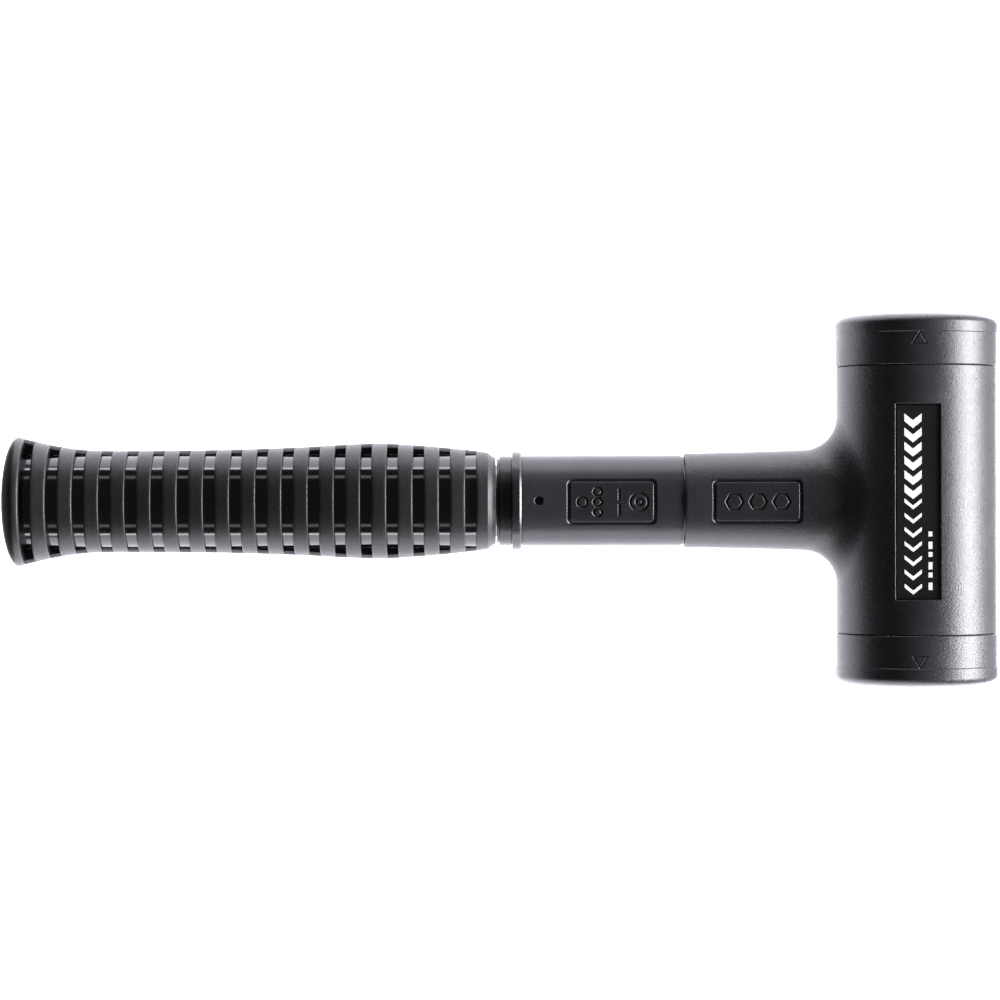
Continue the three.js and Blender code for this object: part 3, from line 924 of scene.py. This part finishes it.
def sleeve_marks():
    """Cutters for the sleeve's panel: its border, a ring, three hexagons, two bars and a target."""
    from_x, to_x, _ = SLEEVE_PANEL
    span = to_x - from_x
    ring_x, hexagon_x, bar_x, target_x = (from_x + span * share for share in (0.17, 0.34, 0.58, 0.8))
    wrap = on_handle(lambda x: SLEEVE_R)
    loops = [polygon(ring_x, 0, 1.5 * MM, 24)]
    loops += [dense(polygon(hexagon_x, side * 3.2 * MM, 1.35 * MM, 6)) for side in (-1, 0, 1)]
    loops += [polygon(target_x, 0, 2.7 * MM, 32), polygon(target_x, 0, 1.0 * MM, 20)]
    bars = [dense([(bar_x, side * 0.6 * MM), (bar_x, side * 4.2 * MM)], 0.9 * MM, False) for side in (-1, 1)]
    mark = groove(*MARK_GROOVE)
    cutters = [panel_border(SLEEVE_PANEL, wrap)]
    cutters += [ribbon(loop, mark, wrap) for loop in loops]
    cutters += [ribbon(bar, mark, wrap, False) for bar in bars]
    return cutters


def shaft_sleeve():
    """Turned sleeve with a grooved nose, a seat for the ring and a tongue under the neck."""
    bore_r = TUBE_R + GAP
    start = sleeve_low.x
    outline = rounded([
        (start, bore_r, 0),
        (start, NOSE_GROOVE_R, 0.1 * MM),
        (NOSE_X, NOSE_GROOVE_R, 0),
        (NOSE_X, SLEEVE_R, NOSE_ROUND),
        (ring_low.x - GAP / 2, SLEEVE_R, 0.1 * MM),
        (ring_low.x - GAP / 2, RING_SEAT_R, 0),
        (ring_high.x + GAP / 2, RING_SEAT_R, 0),
        (ring_high.x + GAP / 2, SLEEVE_R, 0.1 * MM),
        (SHOULDER_X, SLEEVE_R, 0.15 * MM),
        (SHOULDER_X, TONGUE_R, 0),
        (sleeve_high.x, TONGUE_R, 0),
        (sleeve_high.x, bore_r, 0),
        (start, bore_r, 0),
    ], 4)
    vertices, faces = revolve(spaced(outline, 4 * MM), along_x)
    piece = new_object("shaft_sleeve_skin", vertices, faces, SLEEVE_SKIN)
    cut(piece, sleeve_marks() + [pin_hole()])
    inlay(piece, SLEEVE_PANEL, PANEL_SKIN)
    true_normals(piece, handle_normal(lambda x: SLEEVE_R, ring_high.x, SHOULDER_X))
    return settle(piece, "mallet", "sleeve_plastic", "shaft_sleeve")


def pin_hole():
    """Cutter for the round blind hole, with a small countersink at the surface."""
    sides = 32
    levels = ((PIN_HOLE_R, TUBE_R + PIN_HOLE_FLOOR), (PIN_HOLE_R, SLEEVE_R - 0.25 * MM),
              (PIN_HOLE_R * 1.9, SLEEVE_R + 1 * MM))
    return stack([[(x, y, AXIS_Z + height) for x, y in polygon(PIN_HOLE_X, 0, radius, sides)]
                  for radius, height in levels])


def stop_ring():
    outline = rounded([
        (ring_low.x, RING_INNER_R, 0),
        (ring_low.x, RING_R, 0.3 * MM),
        (ring_high.x - RING_CHAMFER[0], RING_R, 0.1 * MM),
        (ring_high.x, RING_R - RING_CHAMFER[1], 0.05 * MM),
        (ring_high.x, RING_INNER_R, 0),
        (ring_low.x, RING_INNER_R, 0),
    ], 6)
    vertices, faces = revolve(outline, along_x)
    piece = new_object("stop_ring_skin", vertices, faces, RING_SKIN)
    return settle(piece, "mallet", "ring_plastic", "stop_ring")


def grip_radius(x):
    """Smooth curve through the grip's stations (a cubic through each pair, with averaged slopes)."""
    at = (x - BUTT_X) / MM
    stations = GRIP_STATIONS
    at = min(max(at, stations[0][0]), stations[-1][0])
    index = max(k for k in range(len(stations) - 1) if stations[k][0] <= at)

    def slope(k):
        a, b = max(k - 1, 0), min(k + 1, len(stations) - 1)
        return (stations[b][1] - stations[a][1]) / (stations[b][0] - stations[a][0])

    (x0, r0), (x1, r1) = stations[index], stations[index + 1]
    span = x1 - x0
    t = (at - x0) / span
    m0 = 0 if index == 0 else slope(index)
    value = (2 * t ** 3 - 3 * t ** 2 + 1) * r0 + (t ** 3 - 2 * t ** 2 + t) * span * m0
    value += (-2 * t ** 3 + 3 * t ** 2) * r1 + (t ** 3 - t ** 2) * span * slope(index + 1)
    return value * MM


def slot_steps(low, high):
    """Rows across a slot as (x, cut): rounded lips down to the walls, and open between the walls."""
    low_round, high_round = SLOT_LIPS
    arc = 4
    turns = [k / arc * math.pi / 2 for k in range(arc + 1)]
    lip = [(1 - math.sin(turn), 1 - math.cos(turn)) for turn in turns]
    steps = [(low - low_round * back, low_round * drop) for back, drop in lip]
    steps += [(low, THROUGH), (high, THROUGH)]
    steps += [(high + high_round * back, high_round * drop) for back, drop in reversed(lip)]
    return steps


def grip_rows():
    """Rows of the grip as (x, radius, cut): the outside from butt to collar, then back along its bore.

    The second result tells the rows after which the slots are open.
    """
    rim_x, rim_r = GRIP_STATIONS[0][0] * MM, GRIP_STATIONS[0][1] * MM
    rows = []
    dome_steps = 16
    for step in range(dome_steps):
        angle = step / dome_steps * math.pi / 2
        radius = BUTT_FLAT_R + (rim_r - BUTT_FLAT_R) * math.sin(angle)
        rows.append((BUTT_X + rim_x * (1 - math.cos(angle)), radius, 0))
    windows = []
    opens = set()
    place = BUTT_X + rim_x
    for index in range(SLOT_COUNT):
        middle = BUTT_X + FIRST_SLOT + index * SLOT_PITCH
        low, high = middle - SLOT_WIDTH / 2, middle + SLOT_WIDTH / 2
        windows.append((low, high))
        steps = slot_steps(low, high)
        rib_steps = 5
        for k in range(rib_steps):
            x = place + (steps[0][0] - place) * k / rib_steps
            rows.append((x, grip_radius(x), 0))
        opens.add(len(rows) + len(steps) // 2 - 1)
        rows += [(x, grip_radius(x), cut_depth) for x, cut_depth in steps]
        place = steps[-1][0]
    end_x = BUTT_X + GRIP_STATIONS[-1][0] * MM
    collar_steps = 4
    for k in range(1, collar_steps + 1):
        x = place + (end_x - 0.5 * MM - place) * k / collar_steps
        rows.append((x, grip_radius(x), 0))
    end_r = GRIP_STATIONS[-1][1] * MM
    small = TUBE_R + GAP
    bore_end = core_high.x + GAP
    collar = [(rows[-1][0], rows[-1][1], 0), (end_x, end_r, 0.3 * MM)]
    collar += [(GRIP_END_X + back, radius, 0.12 * MM) for back, radius in GRIP_END_CHAMFER]
    collar += [(GRIP_END_X, small, 0), (bore_end, small, 0), (bore_end, GRIP_BORE_R, 0)]
    rows += [(x, radius, 0) for x, radius in rounded(collar)[1:]]
    for low, high in reversed(windows):
        opens.add(len(rows))
        rows += [(high, GRIP_BORE_R, 0), (low, GRIP_BORE_R, 0)]
    rows.append((BUTT_X + BUTT_WALL, GRIP_BORE_R, 0))
    return rows, opens


def grip_columns():
    """Columns around the grip as (half turn, height over the fin's middle or None, share of the slot)."""
    fin_steps, slot_columns = 6, 40
    heights = [FIN_HALF * k / fin_steps for k in range(fin_steps + 1)]
    columns = []
    for base in (0, math.pi):
        columns += [(base, height, 0) for height in heights]
        columns += [(base, None, k / slot_columns) for k in range(slot_columns + 1)]
        columns += [(base + math.pi, -height, 0) for height in reversed(heights[1:])]
    return columns


def ribbed_grip():
    """Ribs around the core, joined along both sides by a rounded fin; the slots between them are open."""
    rows, opens = grip_rows()
    columns = grip_columns()
    size = len(columns)

    def turn(column, radius):
        base, height, share = column
        fin_half = min(FIN_HALF, radius / 2)
        if height is not None:
            return base + math.asin(height / FIN_HALF * fin_half / radius)
        edge = math.asin(fin_half / radius)
        return base + edge + (math.pi - 2 * edge) * share

    def across(column):
        height = column[1]
        return THROUGH if height is None else FIN_ROUND - math.sqrt(FIN_ROUND ** 2 - height ** 2)

    vertices = [(BUTT_X, 0, AXIS_Z)]
    nets = [[0] * size]
    for x, radius, depth in rows:
        nets.append(list(range(len(vertices), len(vertices) + size)))
        for column in columns:
            drop = min(depth, across(column))
            here = GRIP_BORE_R if drop == THROUGH else radius - drop
            vertices.append(along_x(x, here, turn(column, here)))
    nets.append([len(vertices)] * size)
    vertices.append((BUTT_X + BUTT_WALL, 0, AXIS_Z))

    def is_open(row, step):
        return row - 1 in opens and columns[step][1] is None and columns[(step + 1) % size][1] is None

    faces = stitch(nets, size, is_open)
    piece = new_object("ribbed_grip_skin", vertices, faces, GRIP_SKIN, smooth=35)
    return settle(piece, "mallet", "grip_rubber", "ribbed_grip")


def grip_core():
    bore_r = TUBE_R + GAP
    radius = CORE_R + CORE_SWELL
    outline = rounded([
        (core_low.x, bore_r, 0),
        (core_low.x, radius, 0.5 * MM),
        (core_high.x, radius, 0.3 * MM),
        (core_high.x, bore_r, 0),
        (core_low.x, bore_r, 0),
    ])
    vertices, faces = revolve(spaced(outline, 8 * MM), along_x)
    piece = new_object("grip_core_skin", vertices, faces, CORE_SKIN)
    return settle(piece, "mallet", "core_plastic", "grip_core")


def shot_balls():
    """Round shot in place of the plain layers that carry its mass: rings of balls in each layer."""
    rings = (1, 6, 12)
    twist = 0.26
    size = 0.98
    nodes = sorted(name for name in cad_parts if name.startswith("shot_layer_"))
    for index, name in enumerate(nodes):
        low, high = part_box(name)
        middle = (low + high) / 2
        radius = (high.y - low.y) / 2
        limit = (high.x - low.x) / 2 - radius
        shape = bmesh.new()
        for ring, count in enumerate(rings):
            distance = limit * ring / (len(rings) - 1)
            for k in range(count):
                angle = 2 * math.pi * (k / count) + (index % 2) * twist
                made = bmesh.ops.create_icosphere(shape, subdivisions=2, radius=radius * size)
                offset = Vector((distance * math.cos(angle), 0, distance * math.sin(angle)))
                bmesh.ops.translate(shape, verts=made["verts"], vec=middle + offset)
        mesh = bpy.data.meshes.new(name + "_balls")
        shape.to_mesh(mesh)
        shape.free()
        piece = bpy.data.objects.new(name + "_balls", mesh)
        bpy.context.scene.collection.objects.link(piece)
        finish_mesh(piece, smooth=60)
        mesh.materials.append(SHOT_STEEL)
        settle(piece, "shot", "shot_steel", name)


def dress_nodes():
    """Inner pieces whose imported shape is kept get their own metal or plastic."""
    looks = {
        "canister_tube": CANISTER_STEEL, "canister_end_upper": CANISTER_STEEL,
        "canister_end_lower": CANISTER_STEEL, "fill_plug": PLUG_STEEL, "handle_tube": TUBE_STEEL,
        "handle_weld": WELD_METAL, "tube_plug": PLUG_PLASTIC,
    }
    for name, look in looks.items():
        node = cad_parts[name]
        node.data.materials.clear()
        node.data.materials.append(look)


head_jacket()
striking_cap(1)
striking_cap(-1)
badge()
badge_print()
shaft_sleeve()
stop_ring()
ribbed_grip()
grip_core()
shot_balls()
dress_nodes()


# Studio

FLOOR_HALF = 6
FLOOR_TONE = (0.42, 0.42, 0.43)
GLOW_HALF = (0.166, 1.0)
GLOW_TONE = (0.8, 0.8, 0.8)
GLOW_STRENGTH = 2.75
GLOW_TINT = (0.943, 0.892, 1.0)
WORLD_LIGHT = 0.1
LIGHT_TINT = (0.965, 0.955, 1.0)

# Lights: each is (distance from its target, height, size, radiance)
HEAD_SOFTBOX = (0.6, 0.205, (1.0, 0.29), 38)
LOW_STRIP = (0.9, 0.05, (0.7, 0.09), 10)
HIGH_STRIP = (0.9, 0.5, (0.7, 0.13), 1.8)
STRIP_X = -0.05

# Camera: the width that it shows is a multiple of the mallet's length
CAMERA_HEIGHT = 1.145
CAMERA_SHIFT = (-0.11 * MM, 0.25 * MM)
CAMERA_ROLL = -0.0021
CAMERA_MARGIN = 1.0065
SENSOR = 36.0


def surface_material(name, colour, glow):
    """Smooth pale board; a glow above zero makes it a lit panel."""
    n = Nodes(name)
    fleck = n.noise(40, 3)
    shade = n.blend(n.ramp(fleck, 0.3, 0.7, 0, 1), tuple(c * 0.97 for c in colour), colour)
    n.link(shade, n.shader.inputs["Base Color"])
    n.shader.inputs["Roughness"].default_value = 0.8
    n.shader.inputs["Emission Color"].default_value = (*GLOW_TINT, 1)
    n.shader.inputs["Emission Strength"].default_value = glow
    return n.material


def board(name, half_x, half_y, level, material):
    """A flat rectangle of the stage."""
    corners = [(-half_x, -half_y, level), (half_x, -half_y, level), (half_x, half_y, level),
               (-half_x, half_y, level)]
    mesh = bpy.data.meshes.new(name)
    mesh.from_pydata(corners, [], [[0, 1, 2, 3]])
    piece = bpy.data.objects.new(name, mesh)
    bpy.context.scene.collection.objects.link(piece)
    mesh.materials.append(material)


def floor():
    """Pale floor with a lit panel under the mallet."""
    level = cad_low.z - 0.1 * MM
    pale = surface_material("pale_floor", FLOOR_TONE, 0)
    lit = surface_material("lit_panel", GLOW_TONE, GLOW_STRENGTH)
    board("floor", FLOOR_HALF, FLOOR_HALF, level - 0.5 * MM, pale)
    board("lit_panel", *GLOW_HALF, level, lit)


def area_light(name, place, target, size, radiance):
    """A rectangular light aimed at its target; the camera does not see it."""
    light = bpy.data.lights.new(name, "AREA")
    light.shape = "RECTANGLE"
    light.size, light.size_y = size
    light.energy = math.pi * radiance * size[0] * size[1]
    light.color = LIGHT_TINT
    lamp = bpy.data.objects.new(name, light)
    bpy.context.scene.collection.objects.link(lamp)
    lamp.location = place
    lamp.rotation_euler = (Vector(target) - Vector(place)).to_track_quat("-Z", "Y").to_euler()
    lamp.visible_camera = False


def studio():
    """A dim room, a softbox beyond the head, and low strips on both sides for the glossy core."""
    world = bpy.data.worlds.new("studio")
    bpy.context.scene.world = world
    world.use_nodes = True
    background = world.node_tree.nodes["Background"]
    background.inputs["Color"].default_value = (WORLD_LIGHT, WORLD_LIGHT, WORLD_LIGHT * 1.04, 1)
    distance, height, size, radiance = HEAD_SOFTBOX
    area_light("head_softbox", (HEAD_X + distance, 0, height), (HEAD_X, 0, AXIS_Z), size, radiance)
    for side in (-1, 1):
        for name, strip in (("low_strip", LOW_STRIP), ("high_strip", HIGH_STRIP)):
            distance, height, size, radiance = strip
            area_light(name, (STRIP_X, side * distance, height), (STRIP_X, 0, AXIS_Z), size, radiance)


def camera():
    """Straight above the mallet, so that its length fills the picture."""
    shown = (cad_high.x - cad_low.x) * CAMERA_MARGIN
    data = bpy.data.cameras.new("camera")
    data.sensor_width = SENSOR
    data.lens = SENSOR * CAMERA_HEIGHT / shown
    data.clip_start, data.clip_end = 0.01, 50
    eye = bpy.data.objects.new("camera", data)
    bpy.context.scene.collection.objects.link(eye)
    middle = (cad_low + cad_high) / 2
    eye.location = (middle.x + CAMERA_SHIFT[0], middle.y + CAMERA_SHIFT[1], AXIS_Z + CAMERA_HEIGHT)
    eye.rotation_euler = (0, 0, CAMERA_ROLL)
    bpy.context.scene.camera = eye


floor()
studio()
camera()
bpy.context.scene.view_settings.view_transform = "Standard"
